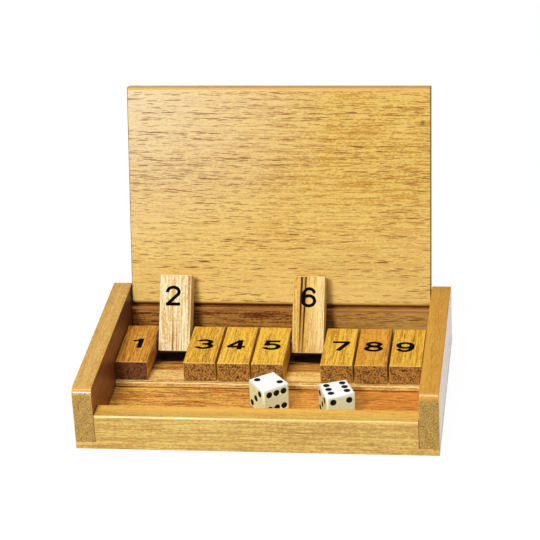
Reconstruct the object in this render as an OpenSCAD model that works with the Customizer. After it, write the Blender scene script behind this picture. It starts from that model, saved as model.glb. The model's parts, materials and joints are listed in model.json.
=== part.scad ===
/* [Case] */
// Width of the case over the side walls
case_w = 188; // [170:1:260]
// Depth of the case, front to back
case_d = 126; // [118:1:180]
// Height of the side walls above the table
case_h = 35; // [34:0.5:50]
// Thickness of each side wall
side_t = 10.3; // [8:0.1:14]
// Radius of the side walls' top corners
side_round = 4.5; // [1:0.5:6]
// Thickness of the base panel
base_t = 4.2; // [2:0.2:5]
// Thickness of the front rail
front_rail_t = 12.5; // [9:0.5:14]
// Height of the front rail's top above the table
front_rail_h = 19.6; // [19:0.2:22]
// Thickness of the back rail
back_rail_t = 10.5; // [8:0.5:12]
// Height of the back rail's top above the table
back_rail_h = 22.8; // [22:0.2:25]
// Radius of the rails' eased top edges
rail_ease = 1.2; // [0.4:0.2:2]

/* [Tiles] */
// Length of a number tile
tile_l = 42.1; // [36:0.1:45]
// Thickness of a number tile
tile_t = 11; // [9:0.5:12]
// Side gap between two neighbouring tiles
tile_gap = 1.1; // [0.6:0.05:2.5]
// Room left over at the right end of the row of tiles, which lies pushed to the left
tile_play = 2.3; // [0.6:0.1:4]
// Radius of a tile's eased end edges
tile_ease = 0.8; // [0.3:0.1:1.2]
// Diameter of the rod that the tiles turn on
rod_d = 3; // [2:0.2:4]
// Distance from the rod's axis to the back rail's face
rod_to_rail = 18.85; // [12:0.05:21]

/* [Tile rest] */
// Height of the strip that the lowered tiles lie on
rest_h = 3.2; // [1.6:0.2:4]
// Depth of the strip, front to back
rest_d = 14.7; // [10:0.1:20]
// How far the strip runs out in front of the tiles
rest_lip = 2.6; // [1:0.1:8]

/* [Lid] */
// Thickness of the lid board
lid_t = 7.5; // [6.5:0.5:9]
// How far the open lid leans back from upright
lid_lean = 15; // [10:1:18]
// Setback of the closed lid's front end from the case's front
lid_front_set = 4.1; // [2:0.1:6]
// Side gap between the lid and each side wall
lid_side_gap = 0.5; // [0.3:0.1:1.5]
// Diameter of the lid's hinge pins
pin_d = 3; // [2:0.2:4]
// Depth of the hinge pins inside the lid
pin_grip = 9; // [6:0.5:14]

/* [Dice] */
// Edge length of a die
die_s = 16; // [12:0.5:16]
// Radius of a die's rounded edges
die_round = 1.6; // [0.6:0.1:2.5]
// Diameter of a pip on the die's face
pip_d = 2.9; // [2:0.1:3.4]
// Place of the left die along the tray
die_left_x = 2.45; // [-30:0.05:6]
// Place of the left die back from the tray's middle
die_left_y = 4.1; // [-6:0.1:6]
// Turn of the left die about its upright axis
die_left_turn = 37; // [0:1:90]
// Place of the right die along the tray
die_right_x = 38.95; // [32:0.05:60]
// Place of the right die back from the tray's middle
die_right_y = -2.4; // [-6:0.1:6]
// Turn of the right die about its upright axis
die_right_turn = 22; // [0:1:90]

/* [Hidden] */

tile_count = 9;
raised_tiles = [2, 6];

run_clear = 0.05;   // radial clearance of a rod or pin that turns
drive_fit = 0.01;   // radial clearance of a rod or pin driven into a wall
end_inset = 0.4;    // how far a rod's end stays below the wall's outer face
seat_gap = 0.05;    // gap under a tile or a lid that lies on its stop
swing_gap = 0.35;   // clearance of a tile's turning corner over the base
lean_gap = 0.15;    // gap between a raised tile and what it leans on
tile_end_gap = 0.35; // gap between the first tile and the left wall
lid_back_gap = 0.3; // gap between the closed lid's end and the case's back plane
cut = 1;            // overrun of every cutting tool
arc_steps = 6;      // flats along a quarter-round edge
pip_sink = 0.55;    // depth of a pip
pip_step = 0.27 * die_s;

inner_w = case_w - 2 * side_t;
front_y = -case_d / 2;
back_y = case_d / 2;
rail_y = back_y - back_rail_t;

tile_w = (inner_w - tile_end_gap - tile_play - (tile_count - 1) * tile_gap) / tile_count;
tile_1_x = -inner_w / 2 + tile_end_gap + tile_w / 2;
rod_z = base_t + rest_h + seat_gap + tile_t / 2;
rod_y = rail_y - rod_to_rail;
// The corner that turns closest to the base sets how near the rod sits to the tile's end
tile_heel = sqrt(pow(rod_z - base_t - swing_gap, 2) - pow(tile_t / 2, 2));
tile_reach = tile_l - tile_heel;
rest_y = rod_y - tile_reach - rest_lip;
tray_y = (front_y + front_rail_t + rest_y) / 2;

lid_w = inner_w - 2 * lid_side_gap;
lid_round = lid_t / 3;
lid_heel = 0.6 * lid_t;
lid_l = case_d - lid_back_gap - lid_front_set;
lid_reach = lid_l - lid_heel;
pin_y = back_y - lid_back_gap - lid_heel;
pin_z = back_rail_h + seat_gap + lid_heel * cos(lid_lean) + lid_t / 2 * sin(lid_lean);

// A raised tile leans on the open lid, or on the back rail's top edge where that comes first
tile_diagonal = sqrt(pow(tile_reach, 2) + pow(tile_t / 2, 2));
rod_to_lid = (pin_y - rod_y) * cos(lid_lean) - (pin_z - rod_z) * sin(lid_lean) - lid_t / 2;
lid_share = min(1, (rod_to_lid - lean_gap) / tile_diagonal);
lean_on_lid = lid_lean + asin(lid_share) - atan2(tile_t / 2, tile_reach);
rail_rise = back_rail_h - rod_z;
rail_span = sqrt(pow(rod_to_rail, 2) + pow(rail_rise, 2));
lean_on_rail = acos((tile_t / 2 + lean_gap) / rail_span) - atan2(rail_rise, rod_to_rail);
tile_lean = min(lean_on_lid, lean_on_rail);

// Points of a quarter-round corner about (x, y), from angle a to a + 90
function corner_arc(x, y, r, a) =
    [for (i = [0 : arc_steps]) [x + r * cos(a + 90 * i / arc_steps), y + r * sin(a + 90 * i / arc_steps)]];

// Outline x0..x1 by y0..y1 with its corners rounded, from lower left round to upper left
function eased_rect(x0, y0, x1, y1, r) = concat(
    r[0] > 0 ? corner_arc(x0 + r[0], y0 + r[0], r[0], 180) : [[x0, y0]],
    r[1] > 0 ? corner_arc(x1 - r[1], y0 + r[1], r[1], 270) : [[x1, y0]],
    r[2] > 0 ? corner_arc(x1 - r[2], y1 - r[2], r[2], 0) : [[x1, y1]],
    r[3] > 0 ? corner_arc(x0 + r[3], y1 - r[3], r[3], 90) : [[x0, y1]]);

// Board of width w, centred on x = 0, whose Y-Z section is the given outline
module board(w, outline) {
    rotate([90, 0, 90])
        translate([0, 0, -w / 2])
            linear_extrude(w)
                polygon(outline);
}

// Round bar or bore along X from x0 to x1
module x_bar(x0, x1, y, z, d) {
    translate([x0, y, z])
        rotate([0, 90, 0])
            cylinder(h = x1 - x0, d = d, $fn = 48);
}

module base_panel() {
    color("#c08a45")
        translate([-case_w / 2, front_y, 0])
            cube([case_w, case_d, base_t]);
}

// One side wall about x = 0, drilled for the tile rod and the lid's pin
module side_wall() {
    color("#d6a95c")
        difference() {
            board(side_t, eased_rect(front_y, base_t, back_y, case_h, [0, 0, side_round, side_round]));
            x_bar(-side_t / 2 - cut, side_t / 2 + cut, rod_y, rod_z, rod_d + 2 * drive_fit);
            x_bar(-side_t / 2 - cut, side_t / 2 + cut, pin_y, pin_z, pin_d + 2 * drive_fit);
        }
}

module side_left() {
    translate([-(inner_w + side_t) / 2, 0, 0]) side_wall();
}

module side_right() {
    translate([(inner_w + side_t) / 2, 0, 0]) side_wall();
}

module front_rail() {
    color("#d2a250")
        board(inner_w, eased_rect(front_y, base_t, front_y + front_rail_t, front_rail_h,
            [0, 0, rail_ease, rail_ease]));
}

module back_rail() {
    color("#a9743a")
        board(inner_w, eased_rect(rail_y, base_t, back_y, back_rail_h, [0, 0, 0, rail_ease]));
}

module tile_rest() {
    color("#c98f45")
        translate([-inner_w / 2, rest_y, base_t])
            cube([inner_w, rest_d, rest_h]);
}

module tile_rod() {
    color("#b9bcc0")
        x_bar(-case_w / 2 + end_inset, case_w / 2 - end_inset, rod_y, rod_z, rod_d);
}

// One tile about the rod's axis at the origin, lying flat towards the front
module flat_tile() {
    difference() {
        board(tile_w, eased_rect(-tile_reach, -tile_t / 2, tile_heel, tile_t / 2,
            [tile_ease, tile_ease, tile_ease, tile_ease]));
        x_bar(-tile_w / 2 - cut, tile_w / 2 + cut, 0, 0, rod_d + 2 * run_clear);
    }
}

// Tile n in its place along the rod, flat or raised
module tile(n) {
    raised = len(search(n, raised_tiles)) > 0;
    color(raised ? "#e6d3a6" : "#dba544")
        translate([tile_1_x + (n - 1) * (tile_w + tile_gap), rod_y, rod_z])
            rotate([raised ? -(90 + tile_lean) : 0, 0, 0])
                flat_tile();
}

// The lid board about its pin's axis, standing upright with its playing side to the front
module upright_lid() {
    difference() {
        board(lid_w, eased_rect(-lid_t / 2, -lid_heel, lid_t / 2, lid_reach, [lid_round, 0, 0, lid_round]));
        for (s = [-1, 1])
            translate([s * lid_w / 2, 0, 0])
                x_bar(-pin_grip - cut, pin_grip + cut, 0, 0, pin_d + 2 * run_clear);
    }
}

module lid() {
    color("#e3c27a")
        translate([0, pin_y, pin_z])
            rotate([-lid_lean, 0, 0])
                upright_lid();
}

// Hinge pin driven through the right wall into the lid's edge
module hinge_pin() {
    color("#b9bcc0")
        x_bar(lid_w / 2 - pin_grip, case_w / 2 - end_inset, pin_y, pin_z, pin_d);
}

module lid_pin_left() {
    mirror([1, 0, 0]) hinge_pin();
}

module lid_pin_right() {
    hinge_pin();
}

// Square bar along Z with rounded edges, longer than the die
module die_bar() {
    h = die_s / 2;
    translate([0, 0, -die_s])
        linear_extrude(2 * die_s)
            polygon(eased_rect(-h, -h, h, h, [die_round, die_round, die_round, die_round]));
}

// Places of n pips on a face, in units of the pip spacing
function pip_spots(n) =
    n == 1 ? [[0, 0]] :
    n == 2 ? [[-1, 1], [1, -1]] :
    n == 3 ? [[-1, 1], [0, 0], [1, -1]] :
    n == 4 ? [[-1, -1], [-1, 1], [1, -1], [1, 1]] :
    n == 5 ? [[-1, -1], [-1, 1], [0, 0], [1, -1], [1, 1]] :
    [[-1, -1], [0, -1], [1, -1], [-1, 1], [0, 1], [1, 1]];

// The hollows of n pips on the top face of a die; a minus sign turns them a quarter turn
module pips(n) {
    ball_r = (pow(pip_d / 2, 2) + pow(pip_sink, 2)) / (2 * pip_sink);
    rotate([0, 0, n < 0 ? 90 : 0])
        for (spot = pip_spots(abs(n)))
            translate([pip_step * spot[0], pip_step * spot[1], die_s / 2 - pip_sink + ball_r])
                sphere(r = ball_r, $fn = 32);
}

// Die about its centre; faces holds the pips of top, front, right, back, left and bottom
module die(faces) {
    color("#f4f1e6")
        difference() {
            intersection() {
                die_bar();
                rotate([90, 0, 0]) die_bar();
                rotate([0, 90, 0]) die_bar();
            }
            pips(faces[0]);
            rotate([90, 0, 0]) pips(faces[1]);
            rotate([90, 0, 90]) pips(faces[2]);
            rotate([90, 0, 180]) pips(faces[3]);
            rotate([90, 0, 270]) pips(faces[4]);
            rotate([180, 0, 0]) pips(faces[5]);
        }
}

module die_left() {
    translate([die_left_x, tray_y + die_left_y, base_t + die_s / 2])
        rotate([0, 0, die_left_turn])
            die([2, 6, 4, 1, -3, 5]);
}

module die_right() {
    translate([die_right_x, tray_y + die_right_y, base_t + die_s / 2])
        rotate([0, 0, die_right_turn])
            die([-6, 4, 2, 3, 5, 1]);
}

base_panel();
side_left();
side_right();
front_rail();
back_rail();
tile_rest();
tile_rod();
for (n = [1 : tile_count]) {
    tile(n);
}
lid();
lid_pin_left();
lid_pin_right();
die_left();
die_right();
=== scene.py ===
import json
import math

import bmesh
import bpy
import numpy as np
from mathutils import Matrix, Vector


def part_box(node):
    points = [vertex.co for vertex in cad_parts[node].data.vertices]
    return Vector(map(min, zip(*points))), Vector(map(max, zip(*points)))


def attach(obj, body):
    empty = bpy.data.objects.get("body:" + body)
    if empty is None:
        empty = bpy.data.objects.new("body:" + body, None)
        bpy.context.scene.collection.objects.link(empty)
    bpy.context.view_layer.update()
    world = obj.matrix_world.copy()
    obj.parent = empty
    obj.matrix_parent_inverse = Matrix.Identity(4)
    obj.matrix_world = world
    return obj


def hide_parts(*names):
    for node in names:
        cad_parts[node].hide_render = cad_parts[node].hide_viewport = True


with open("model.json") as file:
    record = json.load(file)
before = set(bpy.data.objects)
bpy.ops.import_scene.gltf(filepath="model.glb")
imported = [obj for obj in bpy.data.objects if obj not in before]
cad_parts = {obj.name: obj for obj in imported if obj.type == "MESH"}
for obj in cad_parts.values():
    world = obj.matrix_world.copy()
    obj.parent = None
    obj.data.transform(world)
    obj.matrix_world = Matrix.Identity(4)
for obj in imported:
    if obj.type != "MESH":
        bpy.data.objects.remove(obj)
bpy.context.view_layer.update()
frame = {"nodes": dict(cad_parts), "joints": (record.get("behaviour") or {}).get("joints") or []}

MM = 0.001


# The base panel: a thin hardwood board, flush with the case all round and glued under it.
# Like every board here it is a rounded outline carried along X, its ends eased the same way.
def rounded_outline(low, high, radii, steps=7):
    """Points and outward normals of a rectangle whose corners are quarter circles.
    Corner k is centre + radius * (cos t, sin t), with t a quarter turn on from k * 90 + 180."""
    (y0, z0), (y1, z1) = low, high
    corners = [(y0, z0, 1, 1, 180), (y1, z0, -1, 1, 270), (y1, z1, -1, -1, 0), (y0, z1, 1, -1, 90)]
    turn = np.radians(np.linspace(0, 90, steps + 1))
    points, normals = [], []
    for (y, z, sy, sz, start), r in zip(corners, radii):
        t = turn + math.radians(start)
        out = np.stack([np.cos(t), np.sin(t)], 1)
        points.append(np.array([y + sy * r, z + sz * r]) + r * out)
        normals.append(out)
    return np.concatenate(points), np.concatenate(normals)


def board_arrays(x0, x1, outline, ease, holes=(), steps=4, bore_sides=32):
    """A board from x0 to x1: at an end the outline is drawn in by ease * (1 - sin a) and the
    station lies ease * (1 - cos a) short of the end, while a goes from 0 to 90 degrees.
    holes are (y, z, radius) bores right through. Gives points, faces, one normal a corner, and
    the counts by which close_ends finds the end loops."""
    flat, out = outline
    n = len(flat)
    a = np.radians(np.linspace(0, 90, steps + 1))
    inset = ease * (1 - np.sin(a))
    short = ease * (1 - np.cos(a))
    rows = [(x0 + s, i, -math.cos(t), math.sin(t)) for s, i, t in zip(short, inset, a)]
    rows += [(x1 - s, i, math.cos(t), math.sin(t)) for s, i, t in zip(short, inset, a)][::-1]
    x, draw, nx, nr = (np.array(c)[:, None] for c in zip(*rows))
    ones = np.ones((1, n))
    points = np.stack([x * ones, flat[:, 0] - draw * out[:, 0], flat[:, 1] - draw * out[:, 1]], 2)
    normals = np.stack([nx * ones, nr * out[:, 0], nr * out[:, 1]], 2)
    k, j = np.meshgrid(np.arange(len(rows) - 1), np.arange(n), indexing="ij")
    after = (j + 1) % n
    quads = np.stack([k * n + j, k * n + after, (k + 1) * n + after, (k + 1) * n + j], 2)
    points, normals = points.reshape(-1, 3), normals.reshape(-1, 3)
    faces = [tuple(q) for q in quads.reshape(-1, 4)]
    corners = [normals[q] for q in quads.reshape(-1, 4)]
    last = len(points) - n
    angle = np.radians(np.linspace(0, 360, bore_sides + 1)[:-1])
    circle = np.stack([np.cos(angle), np.sin(angle)], 1)
    for y, z, r in holes:
        first = len(points)
        for end in (x0, x1):
            rim = np.column_stack([np.full(bore_sides, end), np.array([y, z]) + r * circle])
            points = np.concatenate([points, rim])
        for i in range(bore_sides):
            i2 = (i + 1) % bore_sides
            faces.append(tuple(first + m for m in (i, bore_sides + i, bore_sides + i2, i2)))
            corners.append(np.array([[0, *-circle[m]] for m in (i, i, i2, i2)]))
    return points, faces, corners, (n, last, len(holes), bore_sides)


def close_ends(points, faces, corners, layout):
    """Adds the two flat ends, as one face each, or as triangles round the bores."""
    n, last, holes, around = layout
    for start, side in ((0, -1), (last, 1)):
        loop = list(range(start, start + n))[::side]
        ends = [tuple(loop)]
        if holes:
            firsts = [last + n + (2 * h + (side > 0)) * around for h in range(holes)]
            rings = [loop] + [list(range(first, first + around)) for first in firsts]
            ends = fill_flat(points, rings, side)
        faces += ends
        corners += [np.tile([side, 0, 0], (len(f), 1)) for f in ends]


def fill_flat(points, rings, side):
    """Triangles of the flat area between an outer ring and the rings inside it, facing side * X."""
    bm = bmesh.new()
    made = {}
    for ring in rings:
        for i in ring:
            made[i] = bm.verts.new(points[i])
        for i, j in zip(ring, ring[1:] + ring[:1]):
            bm.edges.new((made[i], made[j]))
    back = {v: i for i, v in made.items()}
    bmesh.ops.triangle_fill(bm, edges=bm.edges[:], use_beauty=True, use_dissolve=False)
    triangles = []
    for f in bm.faces:
        loop = tuple(back[v] for v in f.verts)
        a, b, c = (points[i] for i in loop)
        facing = np.cross(b - a, c - a)[0] * side
        triangles.append(loop if facing > 0 else loop[::-1])
    bm.free()
    return triangles


def in_scene(name, data):
    """A new object of this mesh, lamp or camera, put into the scene."""
    made = bpy.data.objects.new(name, data)
    bpy.context.scene.collection.objects.link(made)
    return made


def board(name, x0, x1, outline, ease, fibre, body, node, material, holes=(),
          place=Matrix.Identity(4), shift=(0, 0, 0), inside=None, foot=0.0):
    """One wooden piece. fibre is the axis, 0 to 2, that its grain runs along before place turns it;
    shift picks another stretch of the same timber; inside is (axis, side, material) for the faces
    that look along that axis into the case. Its attributes say where each point lies in the timber
    (grain), how squarely it faces along the fibres (ends), how round it is there (edge) and, with
    foot, whether that round looks down by more than foot (low), which wood darkens as a painted
    shade line under the piece."""
    points, faces, corners, layout = board_arrays(x0, x1, outline, ease, holes)
    close_ends(points, faces, corners, layout)
    normals = np.concatenate(corners)
    loops = np.concatenate([np.array(f) for f in faces])
    vertex_normal = np.zeros_like(points)
    np.add.at(vertex_normal, loops, normals)
    vertex_normal /= np.linalg.norm(vertex_normal, axis=1)[:, None]
    order = [fibre] + [axis for axis in (0, 1, 2) if axis != fibre]
    grain = points[:, order] + np.array(shift)
    ends = np.abs(vertex_normal[:, fibre])
    roundness = (1 - np.abs(vertex_normal).max(1)) / (1 - math.sqrt(0.5))  # 1 halfway round
    edge = np.clip(8 * roundness, 0, 1)
    # Rounds that look down get the painted shade line under the piece.
    low = edge * (vertex_normal[:, 2] < -foot) * (foot > 0)
    rotation, offset = np.array(place.to_3x3()), np.array(place.translation)
    faces = [tuple(int(i) for i in f) for f in faces]
    mesh = bpy.data.meshes.new(name)
    mesh.from_pydata((points @ rotation.T + offset).tolist(), [], faces)
    mesh.normals_split_custom_set((normals @ rotation.T).tolist())
    in_timber = mesh.attributes.new("grain", "FLOAT_VECTOR", "POINT")
    in_timber.data.foreach_set("vector", grain.astype("f").ravel())
    for kind, values in (("ends", ends), ("edge", edge), ("low", low)):
        mesh.attributes.new(kind, "FLOAT", "POINT").data.foreach_set("value", values.astype("f"))
    mesh.materials.append(material)
    if inside:
        axis, side, second = inside
        mesh.materials.append(second)
        facing = np.array([c[:, axis].mean() * side > 0.9 for c in corners])
        mesh.polygons.foreach_set("material_index", facing.astype("i"))
    piece = in_scene(name, mesh)
    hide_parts(node)
    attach(piece, body)
    return piece


class Wire:
    """A shader socket in a Python expression. Each operator on it adds one Math node."""

    def __init__(self, tree, socket=None):
        self.tree = tree
        self.socket = socket

    def add(self, kind, settings, inputs, out=0):
        """Adds a node of this kind: its settings first, then the values or links of its sockets."""
        node = self.tree.nodes.new("ShaderNode" + kind)
        for name, value in settings.items():
            setattr(node, name, value)
        for name, value in inputs.items():
            if isinstance(value, Wire):
                self.tree.links.new(value.socket, node.inputs[name])
            else:
                node.inputs[name].default_value = value
        return Wire(self.tree, node.outputs[out]) if len(node.outputs) else node

    def output(self, name):
        """Another output of the same node."""
        return Wire(self.tree, self.socket.node.outputs[name])

    def math(self, operation, *values, clamp=False):
        """Adds a Math node on these values."""
        settings = {"operation": operation, "use_clamp": clamp}
        return self.add("Math", settings, dict(enumerate(values)))

    def __add__(self, other):
        return self.math("ADD", self, other)

    __radd__ = __add__

    def __mul__(self, other):
        return self.math("MULTIPLY", self, other)

    __rmul__ = __mul__

    def __sub__(self, other):
        return self.math("SUBTRACT", self, other)

    def __rsub__(self, other):
        return self.math("SUBTRACT", other, self)

    def __truediv__(self, other):
        return self.math("DIVIDE", self, other)

    def clamped(self):
        """This, kept between 0 and 1."""
        return self.math("ADD", self, 0.0, clamp=True)

    def blend(self, first, second):
        """Colour first where this is 0, second where it is 1."""
        settings = {"data_type": "RGBA", "clamp_factor": True}
        return self.add("Mix", settings, {0: self, 6: first, 7: second}, 2)


def tint(red, green, blue):
    """A colour named as 0 to 255 on screen, as the linear values that shaders take."""
    share = np.array([red, green, blue]) / 255
    linear = np.where(share <= 0.04045, share / 12.92, ((share + 0.055) / 1.055) ** 2.4)
    return (*linear.tolist(), 1.0)


def bare_material(name):
    """A new material with no nodes in it, and a Wire on its tree."""
    material = bpy.data.materials.new(name)
    material.use_nodes = True
    material.node_tree.nodes.clear()
    return material, Wire(material.node_tree)


def wood(name, pale, deep, dash, end, edge_tint, dashes=1.0, streaks=1.0, ring_share=0.25,
         rings=0.0065, gloss=0.7, sheen=0.12, shine=0.3, rim=0.0, arris_shade=0.0, pore_run=1.0,
         veins_and_shade_bands=(), span=(0, 1), vein_and_shade_tint=None, spots=()):
    """Varnished hardwood between pale and deep. Growth rings, one every rings metres, are circles
    about a far-off heart, bent by slow noise. Bands and fibres are noise drawn out along the grain,
    as strong as streaks. Pores are stretched cells, which show as short dashes along the grain, as
    strong as dashes and shorter by pore_run, and as dots between the two colours of end where a cut
    crosses it. The rounded edges take edge_tint; rim darkens the rounded ends, and arris darkens
    the long rounded edges as painted shade for the gaps between neighbouring pieces. Rounds that
    board marks low are darkened as a painted shade line under the piece. gloss and sheen are the
    coat's weight and roughness, shine is the gleam under it. veins are dark lines along the grain,
    each (across at span[0], across at span[1], half width, strength at span[0], at span[1]): real
    streaks on the tiles, painted shade on the tray floor. spots are soft ovals of another colour,
    each (centre, reach, colour): some the timber's own, some painted light and some painted shade."""
    material, w = bare_material(name)
    grain = w.add("Attribute", {"attribute_name": "grain"}, {}, "Vector")
    ends = w.add("Attribute", {"attribute_name": "ends"}, {}, "Fac")
    edge = w.add("Attribute", {"attribute_name": "edge"}, {}, "Fac")
    low = w.add("Attribute", {"attribute_name": "low"}, {}, "Fac")

    def vector(operation, first, second, out="Vector"):
        return w.add("VectorMath", {"operation": operation}, {0: first, 1: second}, out)

    def drawn_out(along, across, detail, roughness=0.5):
        """Noise with this many waves a metre along the grain and across it."""
        return w.add("TexNoise", {}, {
            "Vector": vector("MULTIPLY", grain, (along, across, across)), "Scale": 1.0,
            "Detail": detail, "Roughness": roughness}, 0)

    def pores(along, across, patchy, ringed, width, crisp):
        """Cells this many a metre along and across, each filled round its middle out to a width
        that grows where the timber is patchy and on its rings."""
        cell = vector("MULTIPLY", grain, (along * pore_run, across, across))
        away = w.add("TexVoronoi", {}, {"Vector": cell, "Scale": 1.0}, "Distance")
        return ((patch * patchy + ring * ringed + width - away) * crisp).clamped()

    axes = w.add("SeparateXYZ", {}, {"Vector": grain}, "X")
    along, across, depth = (axes.output(axis) for axis in "XYZ")
    slow = drawn_out(6, 35, 2)
    tone = drawn_out(4, 22, 1)
    band = drawn_out(8, 300, 3, 0.65)
    fibre = drawn_out(45, 1050, 2, 0.7)
    speck = drawn_out(700, 1500, 1, 0.6)
    aside, behind = across + 21 * MM, depth + 34 * MM
    heart = w.math("SQRT", aside * aside + behind * behind)
    ring = w.math("SINE", (heart / rings + slow * 1.6 + along * 0.8) * (2 * math.pi)) * 0.5
    shade = (tone - 0.5) * 1.1 + ((band - 0.5) * 0.9 + (fibre - 0.5) * 3.6) * streaks
    shade = shade + (speck - 0.5) * 2.8 + ring * ring_share
    plain = (shade + 0.42).clamped().blend(pale, deep)
    for centre, reach, colour in spots:
        far = vector("DIVIDE", vector("SUBTRACT", grain, centre), reach)
        far = w.add("VectorMath", {"operation": "LENGTH"}, {0: far}, "Value")
        plain = (far * -0.9 + 0.8).clamped().blend(plain, colour)
    patch = drawn_out(14, 110, 2)
    long_pore = pores(85, 1900, patchy=0.5, ringed=0.14, width=0.015, crisp=14)
    short_pore = pores(230, 2100, patchy=0.45, ringed=0.1, width=-0.01, crisp=11)
    pore = w.math("MAXIMUM", long_pore * dashes, short_pore * (0.55 * dashes)).clamped()
    marked = pore.blend(plain, dash)
    for start, stop, half, first, last in veins_and_shade_bands:
        part = ((along - span[0]) / (span[1] - span[0])).clamped()
        wander = (slow - 0.5) * (2 * MM) + (band - 0.5) * (1.2 * MM)
        off = w.math("ABSOLUTE", across - start - (stop - start) * part + wander)
        line = ((1 - off / half) * 1.6 - (fibre - 0.5) * 1.5).clamped()
        marked = (line * (first + (last - first) * part)).clamped().blend(marked, vein_and_shade_tint)
    dots = ((drawn_out(300, 1150, 2, 0.85) - 0.44) * 7).clamped()
    cut = (ring * 0.15 + 0.08 + dots * 0.85).clamped().blend(*end)
    faced = ends * ends * ends
    bare = faced.blend(marked, cut)
    edged = (edge * (1 - faced) * 0.85).blend(bare, edge_tint)
    at_end = (ends * 4).clamped()
    if rim:
        edged = (at_end * edge * rim).blend(edged, tint(104, 46, 22))
    # arris: painted shade along the long rounded edges, standing in for the shade in the gaps
    # between neighbouring pieces.
    if arris_shade:
        edged = ((1 - at_end) * edge * arris_shade).blend(edged, tint(64, 34, 12))
    # Rounds marked low are darkened as a painted shade line under the piece.
    shaded_colour = (low * 0.9).blend(edged, tint(48, 26, 16))
    height = 1 - pore * 0.7 - fibre * 0.5 - dots * faced
    relief = w.add("Bump", {}, {"Strength": 0.35, "Distance": 0.15 * MM, "Height": height}, 0)
    shader = w.add("BsdfPrincipled", {}, {
        "Base Color": shaded_colour, "Roughness": 0.4 + 0.16 * fibre + 0.2 * faced + 0.12 * pore,
        "Normal": relief, "Coat Weight": gloss, "Coat Roughness": sheen,
        "Specular IOR Level": shine}, 0)
    w.add("OutputMaterial", {}, {"Surface": shader})
    return material


pale_end = (tint(176, 124, 62), tint(120, 76, 34))
corner_r = 0.5 * MM
seam_r = 0.05 * MM
edge_ease = 0.4 * MM
front_timber = (0.2, 0.01, 0.02)
# The tray floor's veins are painted shade: near black towards the back, where the floor lies in
# shade under the raised tiles, and faintly darker just behind the tile rest.
floor_wood = wood(
    "tray_floor_wood", tint(240, 190, 88), tint(190, 110, 30), tint(120, 54, 16), pale_end,
    tint(200, 150, 70), dashes=1.35, gloss=0.3, sheen=0.4, streaks=1.6, vein_and_shade_tint=tint(22, 11, 12),
    veins_and_shade_bands=[(0.058, 0.058, 0.025, 6, 6), (0.028, 0.028, 0.013, 0.2, 0.2)],
    spots=[((0.28, -0.03, 0.024), (0.11, 1, 1), tint(222, 136, 46))])
# outer_wood's spot makes the front rail's top paler and oranger than its front face: partly the
# rail's own colour, partly painted light on the top.
outer_wood = wood(
    "front_rail_wood", tint(220, 186, 92), tint(186, 140, 54), tint(144, 84, 22), pale_end,
    tint(228, 186, 94), dashes=0.6, streaks=1.1, rings=0.0045, rim=1.0, pore_run=1.2,
    spots=[((0.2, -0.0442, 0.044), (1, 0.0088, 1), tint(250, 190, 82))])
low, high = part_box("base_panel")
outline = rounded_outline(low[1:], high[1:], [corner_r, corner_r, seam_r, seam_r])
board("base_panel_wood", low.x, high.x, outline, seam_r, 0, "case", "base_panel", outer_wood,
      shift=front_timber, inside=(2, 1, floor_wood))


# The side walls: two stouter boards with the grain running front to back, their top corners
# rounded over and each drilled for the tile rod and for one hinge pin of the lid.
def joint(name):
    """A joint of the frame, by its name."""
    return next(j for j in frame["joints"] if j["name"] == name)


rod_axis = Vector(joint("tile_1_flip")["pos_m"])
pin_axis = Vector(joint("lid_hinge")["pos_m"])
corner_round = 4.5 * MM
bore_r = 1.51 * MM
left_wood = wood(
    "left_side_wood", tint(234, 190, 102), tint(208, 158, 76), tint(166, 108, 44),
    (tint(196, 156, 64), tint(134, 98, 30)), tint(220, 150, 44), dashes=0.4, streaks=0.6)
right_wood = wood(
    "right_side_wood", tint(222, 164, 60), tint(204, 142, 44), tint(150, 90, 30),
    (tint(194, 154, 60), tint(128, 92, 26)), tint(214, 146, 44), dashes=0.5, streaks=0.6)
# The side walls' inner faces are darker and redder, partly the wood's own stain and partly painted
# shade; the two spots paint deep purple shade into the back of the left wall's inner face.
inner_wood = wood(
    "side_inner_wood", tint(168, 88, 46), tint(120, 54, 32), tint(84, 34, 22), pale_end,
    tint(150, 84, 40), dashes=0.6, gloss=0.3, sheen=0.3,
    spots=[((0.17, -0.08, 0.02), (0.13, 1, 1), tint(12, 2, 60)),
           ((0.18, -0.08, 0.02), (0.12, 1, 1), tint(12, 0, 84))])
walls = (("left", 1, left_wood, (0.1, 0.0, 0.0)), ("right", -1, right_wood, (0.7, 0.03, 0.01)))
for side, inward, timber, shift in walls:
    low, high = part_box("side_" + side)
    outline = rounded_outline(low[1:], high[1:], [corner_r, corner_r, corner_round, corner_round])
    bores = [(rod_axis.y, rod_axis.z, bore_r), (pin_axis.y, pin_axis.z, bore_r)]
    board(f"side_{side}_wood", low.x, high.x, outline, edge_ease, 1, "case", "side_" + side, timber,
          holes=bores, shift=shift, inside=(0, inward, inner_wood))


# The front rail, the higher back rail and the thin strip that carries the tiles: plain boards
# butted between the side walls, with the grain along the case and the top edges eased.
# The back rail's first spot, paler towards its right end, is partly the rail's own tone and partly
# painted light; the second is a painted shade band along its top, under the lid's heel.
back_wood = wood(
    "back_rail_wood", tint(204, 142, 66), tint(122, 68, 24), tint(86, 40, 18), pale_end,
    tint(140, 86, 36), gloss=0.0, shine=0.15, streaks=1.8,
    spots=[((0.97, 0.105, 0.015), (0.07, 1, 1), tint(226, 172, 88)),
           ((0.9, 0.1075, 0.0275), (1, 0.007, 0.0035), tint(96, 54, 24))])
rest_wood = wood(
    "tile_rest_wood", tint(246, 210, 124), tint(196, 138, 58), tint(120, 60, 20), pale_end,
    tint(246, 210, 130), gloss=0.5, sheen=0.2)
rail_ease = 1.2 * MM
rest_foot = 0.9 * MM
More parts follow.
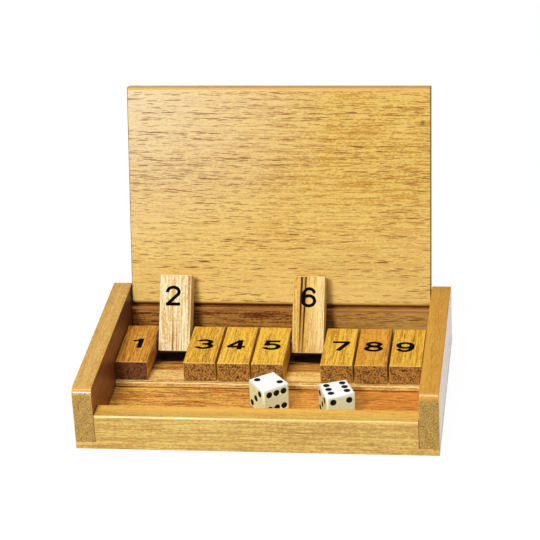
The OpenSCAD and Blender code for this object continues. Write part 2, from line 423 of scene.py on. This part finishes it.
# lying_foot: rounds of the tile rest and the lying tiles that look down at all take the painted
# shade line under them.
lying_foot = 0.05
rails = (
    ("front_rail", outer_wood, seam_r, rail_ease, rail_ease, front_timber, 0.0),
    ("back_rail", back_wood, seam_r, corner_r, rail_ease, (0.9, 0.05, 0.0), 0.0),
    ("tile_rest", rest_wood, rest_foot, corner_r, corner_r, (1.4, 0.02, 0.03), lying_foot))
for node, timber, lower, back, front, shift, foot in rails:
    low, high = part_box(node)
    outline = rounded_outline(low[1:], high[1:], [lower, lower, back, front])
    board(node + "_wood", low.x, high.x, outline, edge_ease, 0, "case", node, timber, shift=shift,
          foot=foot)


# The tile rod and the lid's two hinge pins: drawn steel wire, cut off square and driven into the
# bores of the side walls, so that only their ends show.
def steel():
    """Dull drawn steel, finely scored round the wire."""
    material, w = bare_material("drawn_steel")
    place = w.add("TexCoord", {}, {}, "Object")
    scored = {0: place, 1: (9000, 600, 600)}
    scored = w.add("VectorMath", {"operation": "MULTIPLY"}, scored, "Vector")
    score = w.add("TexNoise", {}, {"Vector": scored, "Scale": 1.0, "Detail": 2.0}, 0)
    colour = score.blend(tint(104, 102, 100), tint(146, 143, 140))
    relief = w.add("Bump", {}, {"Strength": 0.2, "Distance": 0.03 * MM, "Height": score}, 0)
    shader = w.add("BsdfPrincipled", {}, {
        "Base Color": colour, "Metallic": 1.0, "Roughness": 0.42 + 0.14 * score,
        "Normal": relief}, 0)
    w.add("OutputMaterial", {}, {"Surface": shader})
    return material


wire_steel = steel()
for node in ("tile_rod", "lid_pin_left", "lid_pin_right"):
    for slot in frame["nodes"][node].material_slots:
        slot.material = wire_steel


# The nine number tiles: short blocks drilled near one end and threaded on the rod, grain along
# their length. Each has its number on both faces, so it reads lying down and flipped up.
def solid_points(node):
    """The points of a node's solid."""
    mesh = frame["nodes"][node].data
    points = np.empty(len(mesh.vertices) * 3, "f")
    mesh.vertices.foreach_get("co", points)
    return points.reshape(-1, 3)


def turned_back(node, pivot, turn):
    """Lowest and highest corner of a node about a pivot, once turned back by turn about X."""
    back = np.array(Matrix.Rotation(-turn, 3, "X"))
    local = (solid_points(node) - np.array(pivot)) @ back.T
    return Vector(local.min(0)), Vector(local.max(0))


def bar(x, y, pen, start, end):
    """How far each point lies inside a straight pen stroke with square ends (negative outside)."""
    (x0, y0), (x1, y1) = start, end
    length = math.hypot(x1 - x0, y1 - y0)
    ux, uy = (x1 - x0) / length, (y1 - y0) / length
    along = (x - x0) * ux + (y - y0) * uy
    aside = np.abs((y - y0) * ux - (x - x0) * uy)
    return np.minimum(pen - aside, np.minimum(along, length - along))


def bow(x, y, pen, centre, radii, first=-181, last=181):
    """The same for part of an oval ring, from angle first round to last, in degrees from +X."""
    dx, dy = x - centre[0], y - centre[1]
    tiny = 1e-9
    reach = np.hypot(dx, dy) + tiny
    share = np.hypot(dx / radii[0], dy / radii[1]) + tiny
    aside = reach * np.abs(1 - 1 / share)
    half = math.radians((last - first) / 2)
    angle = np.arctan2(dy, dx) - math.radians((first + last) / 2)
    angle = (angle + math.pi) % (2 * math.pi) - math.pi
    return np.minimum(pen - aside, (half - np.abs(angle)) * reach)


def number_strokes(number, x, y, pen):
    """Plain upright numbers one unit high, each the union of a few strokes of an even pen."""
    if number == 9:
        return number_strokes(6, 0.72 - x, 1 - y, pen)
    low, top, thin = pen, 1 - pen, 0.9 * pen
    strokes = {
        1: [bar(x, y, pen, (0.42, 0), (0.42, 1)),
            bow(x, y, pen * 0.85, (0.13, 1.02), (0.28, 0.26), -95, -5)],
        2: [bow(x, y, pen, (0.36, 0.69), (0.275, 0.235), -38, 185),
            bar(x, y, pen, (0.60, 0.58), (0.10, 0.08)),
            bar(x, y, pen, (0.02, low), (0.71, low))],
        3: [bow(x, y, pen, (0.35, 0.725), (0.245, 0.2), -92, 165),
            bar(x, y, thin, (0.25, 0.52), (0.38, 0.52)),
            bow(x, y, pen, (0.35, 0.30), (0.29, 0.225), -168, 92)],
        4: [bar(x, y, pen, (0.53, 0), (0.53, 1)),
            bar(x, y, pen, (0.02, 0.29), (0.74, 0.29)),
            bar(x, y, thin, (0.05, 0.27), (0.53, 0.97))],
        5: [bar(x, y, pen, (0.15, top), (0.67, top)),
            bar(x, y, pen, (0.20, 1), (0.13, 0.43)),
            bow(x, y, pen, (0.35, 0.33), (0.29, 0.255), -165, 142)],
        6: [bow(x, y, pen, (0.37, 0.325), (0.275, 0.25)),
            bow(x, y, pen, (0.39, 0.5), (0.295, 0.425), 38, 215)],
        7: [bar(x, y, pen, (0.02, top), (0.71, top)),
            bar(x, y, pen, (0.655, top), (0.27, 0))],
        8: [bow(x, y, pen, (0.36, 0.735), (0.235, 0.195)),
            bow(x, y, pen, (0.36, 0.285), (0.285, 0.215))],
    }[number]
    return np.maximum.reduce(strokes)


def print_number(number, name, body, height, width, pen, place, material):
    """A printed number: a grid over the strokes cut into triangles, each kept, dropped, or clipped
    where the depth inside the strokes, linear along its sides, falls to zero."""
    step = 0.02
    columns, rows = np.arange(-0.06, 0.84, step), np.arange(-0.04, 1.05, step)
    x, y = np.meshgrid(columns, rows, indexing="ij")
    points = np.stack([x, y, number_strokes(number, x, y, pen)], 2)
    a, b, c, d = points[:-1, :-1], points[1:, :-1], points[1:, 1:], points[:-1, 1:]
    triangles = np.stack([np.stack([a, b, c], 2), np.stack([a, c, d], 2)], 2).reshape(-1, 3, 3)
    corners, faces = [], []
    for triangle in triangles[(triangles[:, :, 2] > 0).any(1)]:
        ring = []
        for p, q in zip(triangle, np.roll(triangle, -1, 0)):
            if p[2] > 0:
                ring.append(p[:2])
            if (p[2] > 0) != (q[2] > 0):
                ring.append((p + (q - p) * p[2] / (p[2] - q[2]))[:2])
        faces.append(tuple(range(len(corners), len(corners) + len(ring))))
        corners += ring
    flat = np.array(corners)
    flat -= (flat.min(0) + flat.max(0)) / 2
    flat *= (width, height)
    local = np.column_stack([flat, np.zeros(len(flat))])
    rotation, offset = np.array(place.to_3x3()), np.array(place.translation)
    mesh = bpy.data.meshes.new(name)
    mesh.from_pydata((local @ rotation.T + offset).tolist(), [], faces)
    bm = bmesh.new()
    bm.from_mesh(mesh)
    bmesh.ops.remove_doubles(bm, verts=bm.verts[:], dist=0.005 * MM)
    bm.to_mesh(mesh)
    bm.free()
    mesh.materials.append(material)
    piece = in_scene(name, mesh)
    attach(piece, body)
    return piece


def ink():
    """Black printing ink, a little uneven, with pinholes where the wood shows through."""
    material, w = bare_material("number_ink")
    place = w.add("TexCoord", {}, {}, "Object")
    cloud = w.add("TexNoise", {}, {"Vector": place, "Scale": 900.0, "Detail": 3.0}, 0)
    pinhole = ((cloud - 0.66) * 14).clamped()
    colour = (pinhole * 0.6).blend(tint(5, 5, 8), tint(50, 42, 40))
    shader = w.add("BsdfPrincipled", {}, {
        "Base Color": colour, "Roughness": 0.7 + 0.2 * cloud, "Specular IOR Level": 0.04}, 0)
    w.add("OutputMaterial", {}, {"Surface": shader})
    return material


tile_end = (tint(206, 148, 66), tint(56, 28, 8))
# The first tile's cut ends are dark: partly its own darker wood, partly painted shade from the left
# wall.
spotted_shaded_end = (tint(138, 86, 46), tint(46, 22, 16))
raised_end = (tint(214, 178, 118), tint(160, 116, 62))
# On the tiles, arris paints shade along the long rounded edges, for the gaps between the tiles.
tile_wood = wood(
    "lying_tile_wood", tint(242, 198, 72), tint(202, 140, 28), tint(116, 58, 12), tile_end,
    tint(244, 198, 92), dashes=0.75, streaks=1.25, rings=0.005, gloss=0.2, sheen=0.35, arris_shade=0.75)
brown_wood = wood(
    "eighth_tile_wood", tint(232, 170, 62), tint(192, 124, 26), tint(120, 60, 14), tile_end,
    tint(232, 180, 80), dashes=0.8, rings=0.005, gloss=0.2, sheen=0.35, arris_shade=0.75)
spotted_wood = wood(
    "first_tile_wood", tint(230, 168, 62), tint(184, 116, 28), tint(84, 40, 16), spotted_shaded_end,
    tint(230, 176, 84), rings=0.004, streaks=1.2, gloss=0.2, sheen=0.35, arris_shade=0.4)
pale_wood = wood(
    "second_tile_wood", tint(236, 226, 184), tint(214, 168, 92), tint(196, 138, 56), raised_end,
    tint(242, 222, 172), dashes=0.5, streaks=1.5, rings=0.004, gloss=0.0, shine=0.08,
    vein_and_shade_tint=tint(160, 94, 20), span=(0.584, 0.626),
    veins_and_shade_bands=[(-0.0235, -0.0233, 0.0006, -1.6, 1.6), (-0.0213, -0.0211, 0.0004, -0.4, 0.8),
           (-0.0186, -0.0186, 0.0004, -0.8, 0.7), (-0.0150, -0.0147, 0.0009, 0.8, 0.0)])
striped_wood = wood(
    "sixth_tile_wood", tint(230, 194, 100), tint(200, 142, 46), tint(150, 84, 28), raised_end,
    tint(236, 208, 140), dashes=0.5, streaks=1.3, rings=0.004, gloss=0.0, shine=0.08,
    vein_and_shade_tint=tint(62, 24, 8), span=(1.824, 1.866),
    veins_and_shade_bands=[(0.1155, 0.1147, 0.0007, 1.7, 0.5), (0.1177, 0.1164, 0.0006, 1.9, 0.6)],
    spots=[((1.845, 0.1285, 0.13), (0.06, 0.012, 1), tint(246, 226, 168)),
           ((1.838, 0.1164, 0.13), (0.04, 0.0048, 1), tint(196, 138, 48))])
timbers = {1: spotted_wood, 2: pale_wood, 6: striped_wood, 8: brown_wood}
number_ink = ink()
top_print = (10.7 * MM, 13.3 * MM, 0.102)  # height, width and pen of a number
under_print = (11.0 * MM, 11.6 * MM, 0.08)
top_print_front = 14.3 * MM
under_print_front = 24.15 * MM
print_drift = {2: -1.3 * MM, 4: -1.2 * MM, 7: 0.8 * MM, 9: -1.5 * MM}
ink_lift = 0.02 * MM
tile_ease = 0.35 * MM
tile_corner_r = 0.49 * MM
raised_tiles = (2, 6)
flip = math.radians(max(joint("tile_1_flip")["range_deg"]))
for n in range(1, 10):
    node = f"tile_{n}"
    raised = n in raised_tiles
    turn = -flip if raised else 0
    low, high = turned_back(node, rod_axis, turn)
    place = Matrix.Translation(rod_axis) @ Matrix.Rotation(turn, 4, "X")
    outline = rounded_outline(low[1:], high[1:], [tile_corner_r] * 4)
    board(node + "_wood", low.x, high.x, outline, tile_ease, 1, node, node,
          timbers.get(n, tile_wood), place=place, shift=(0.31 * n, 0.017 * n, 0.023 * n),
          foot=0.0 if raised else lying_foot)
    x = (low.x + high.x) / 2 + print_drift.get(n, 0)
    top = place @ Matrix.Translation((x, -top_print_front, high.z + ink_lift))
    print_number(n, f"number_{n}_top", node, *top_print, top, number_ink)
    under = place @ Matrix.Translation((x, -under_print_front, low.z - ink_lift))
    under = under @ Matrix.Rotation(math.pi, 4, "X")
    print_number(n, f"number_{n}_under", node, *under_print, under, number_ink)


# The lid: one wide board with the grain along the case. Its inner face, which shows while it is
# open, has rounded long edges; it leans back until its heel lies on the back rail.
lid_lean = math.radians(15)
lid_ease = 0.45 * MM
# lid_foot: the lid's rounds that look well down take the painted shade line along its heel.
lid_foot = 0.5
# Of the lid's spots, the cream oval at the upper left is partly paler wood and partly a painted
# sheen, the pale wash over the lower part is painted light, and the small dark one is a knot.
lid_wood = wood(
    "lid_wood", tint(220, 184, 94), tint(188, 138, 46), tint(126, 68, 0), pale_end,
    tint(208, 152, 56), dashes=0.95, streaks=1.5, rings=0.0036, ring_share=0.2, gloss=0.35,
    sheen=0.25, shine=0.2, rim=1.0, pore_run=1.15,
    spots=[((0.41, 0, 0.215), (0.14, 1, 0.12), tint(226, 206, 168)),
           ((0.5, 0, 0.085), (0.4, 1, 0.09), tint(244, 208, 122)),
           ((0.5788, 0, 0.1976), (0.0024, 1, 0.0021), tint(20, 0, 0))])
low, high = turned_back("lid", pin_axis, -lid_lean)
place = Matrix.Translation(pin_axis) @ Matrix.Rotation(-lid_lean, 4, "X")
lid_round = (high.y - low.y) / 3
outline = rounded_outline(low[1:], high[1:], [lid_round, corner_r, corner_r, lid_round])
board("lid_board", low.x, high.x, outline, lid_ease, 0, "lid", "lid", lid_wood, place=place,
      shift=(0.5, 0.0, 0.1), foot=lid_foot)


# The two dice: ivory white plastic cubes with tumbled edges, standing loose in the tray. Their
# pips are drilled hollows, filled with black paint that reaches a little past the rims.
die_half = 8 * MM
pip_step = 4.32 * MM
paint_r = 1.74 * MM
paint_blur = 0.08 * MM


def eased_copy(node, name):
    """A merged copy of a node's solid, smooth over its rounds and sharp at the pips' rims."""
    bm = bmesh.new()
    bm.from_mesh(frame["nodes"][node].data)
    bmesh.ops.remove_doubles(bm, verts=bm.verts[:], dist=0.002 * MM)
    mesh = bpy.data.meshes.new(name)
    bm.to_mesh(mesh)
    bm.free()
    mesh.shade_smooth()
    mesh.set_sharp_from_angle(angle=math.radians(28))
    piece = in_scene(name, mesh)
    weighted = piece.modifiers.new("even_faces", "WEIGHTED_NORMAL")
    weighted.keep_sharp = True
    return piece


def pip_places(node, centre, turn):
    """Middles of the pips about the die's own middle: the points that lie below a face and well
    inside its rounded rim, each snapped to the pip spacing."""
    below_face, rim_width = 0.05 * MM, 2 * MM
    own = (solid_points(node) - np.array(centre)) @ np.array(Matrix.Rotation(turn, 3, "Z"))
    size = np.sort(np.abs(own), 1)
    hollow = own[(size[:, 2] < die_half - below_face) & (size[:, 1] < die_half - rim_width)]
    snapped = np.round(hollow / pip_step) * pip_step
    face = np.abs(hollow).argmax(1)
    row = np.arange(len(hollow))
    snapped[row, face] = np.sign(hollow[row, face]) * die_half
    return np.unique(np.round(snapped, 6), axis=0)


def die_plastic(name, centre, turn, pips):
    """Ivory plastic, painted yellower below the top face as shade and bounce light on the sides,
    with black paint in each pip.
    """
    material, w = bare_material(name)
    place = w.add("TexCoord", {}, {}, "Object")
    own = w.add("Mapping", {"vector_type": "TEXTURE"}, {
        "Vector": place, "Location": centre, "Rotation": (0, 0, turn)}, 0)
    height = w.add("SeparateXYZ", {}, {"Vector": own}, "Z")
    nearest = 1
    for pip in pips.tolist():
        gap = w.add("VectorMath", {"operation": "DISTANCE"}, {0: own, 1: pip}, "Value")
        nearest = w.math("MINIMUM", gap, nearest)
    paint = ((paint_r - nearest) / paint_blur + 0.5).clamped()
    cloud = w.add("TexNoise", {}, {"Vector": own, "Scale": 160.0, "Detail": 2.0}, 0)
    # The faces below the top are painted yellow-green, as shade and warm bounce light on the sides.
    under_top = ((7.6 * MM - height) / (2 * MM)).clamped()
    painted_side_shade = (under_top * 0.8 + (cloud - 0.5) * 0.2).clamped()
    ivory = painted_side_shade.blend(tint(255, 255, 255), tint(246, 254, 186))
    shader = w.add("BsdfPrincipled", {}, {
        "Base Color": paint.blend(ivory, tint(6, 6, 8)),
        "Roughness": 0.22 + 0.12 * cloud + 0.4 * paint,
        "Coat Weight": 0.3 * (1 - paint), "Coat Roughness": 0.08, "Specular IOR Level": 0.3}, 0)
    w.add("OutputMaterial", {}, {"Surface": shader})
    return material


for side, degrees in (("left", 37), ("right", 22)):
    node = "die_" + side
    low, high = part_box(node)
    piece = eased_copy(node, node + "_body")
    piece.data.materials.clear()
    centre, turn = (low + high) / 2, math.radians(degrees)
    pips = pip_places(node, centre, turn)
    piece.data.materials.append(die_plastic(node + "_plastic", centre, turn, pips))
    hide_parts(node)
    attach(piece, node)


# The table: a plain pale floor a hair under the case. It keeps the object's shadow and looks
# white to the camera, and in what the steel and varnish mirror.
def pale_floor():
    """White paper: lit as any surface, and part self-bright for the camera, metal and varnish."""
    material, w = bare_material("pale_floor")
    camera_ray = w.add("LightPath", {}, {}, "Is Camera Ray")
    seen = camera_ray + camera_ray.output("Is Glossy Ray")
    seen = (seen + camera_ray.output("Is Transmission Ray")).clamped()
    paper = w.add("BsdfDiffuse", {}, {"Color": (0.86, 0.86, 0.86, 1)}, 0)
    white = w.add("Emission", {}, {"Color": (1, 1, 1, 1), "Strength": 1.04}, 0)
    mixed = w.add("MixShader", {}, {0: seen * 0.93, 1: paper, 2: white}, 0)
    w.add("OutputMaterial", {}, {"Surface": mixed})
    return material


table_half = 6
table_z = -0.05 * MM
table = bpy.data.meshes.new("table")
sides = [(-1, -1), (1, -1), (1, 1), (-1, 1)]
corners = [(x * table_half, y * table_half, table_z) for x, y in sides]
table.from_pydata(corners, [], [(0, 1, 2, 3)])
table.materials.append(pale_floor())
floor = in_scene("table", table)


# Soft studio light: a key from the front and a little left, as the shadows beside the raised tiles
# say, a broad lamp overhead, a low one whose gleam lies on the lid's upper left, a dim surround.
def soft_lamp(name, away, size, power):
    """A square area lamp, away from the object's middle and turned to face it."""
    middle = Vector((0, 0, 0.03))
    lamp = bpy.data.lights.new(name, "AREA")
    lamp.size = size
    lamp.energy = power
    carrier = in_scene(name, lamp)
    carrier.location = middle + Vector(away)
    carrier.rotation_euler = (-Vector(away)).to_track_quat("-Z", "Y").to_euler()


world = bpy.data.worlds.new("studio")
bpy.context.scene.world = world
world.use_nodes = True
surround = world.node_tree.nodes["Background"].inputs
surround["Color"].default_value = (1, 1, 1, 1)
surround["Strength"].default_value = 0.16
soft_lamp("key", (-0.33, -1.27, 0.92), 0.25, 15)
soft_lamp("top", (-0.08, -0.3, 1.4), 0.6, 10.5)
soft_lamp("front", (-0.46, -1.3, 0.34), 0.3, 1)

# The camera: a long lens about a metre off, a little above and to the right of the object, and
# rolled slightly, as the photo is cut. Its place and lens were fitted to the case's corners.
camera_azimuth = math.radians(8.23)
camera_drop = math.radians(26.02)
camera_roll = math.radians(-3.01)
camera_place = Vector((0.15596, -1.05783, 0.59507))
camera_data = bpy.data.cameras.new("camera")
camera_data.sensor_width = 36
camera_data.lens = 151.67
camera = in_scene("camera", camera_data)
swung = Matrix.Rotation(camera_azimuth, 4, "Z")
raised = Matrix.Rotation(math.pi / 2 - camera_drop, 4, "X")
rolled = Matrix.Rotation(camera_roll, 4, "Z")
camera.matrix_world = Matrix.Translation(camera_place) @ swung @ raised @ rolled
bpy.context.scene.camera = camera

bpy.context.scene.view_settings.view_transform = "Standard"
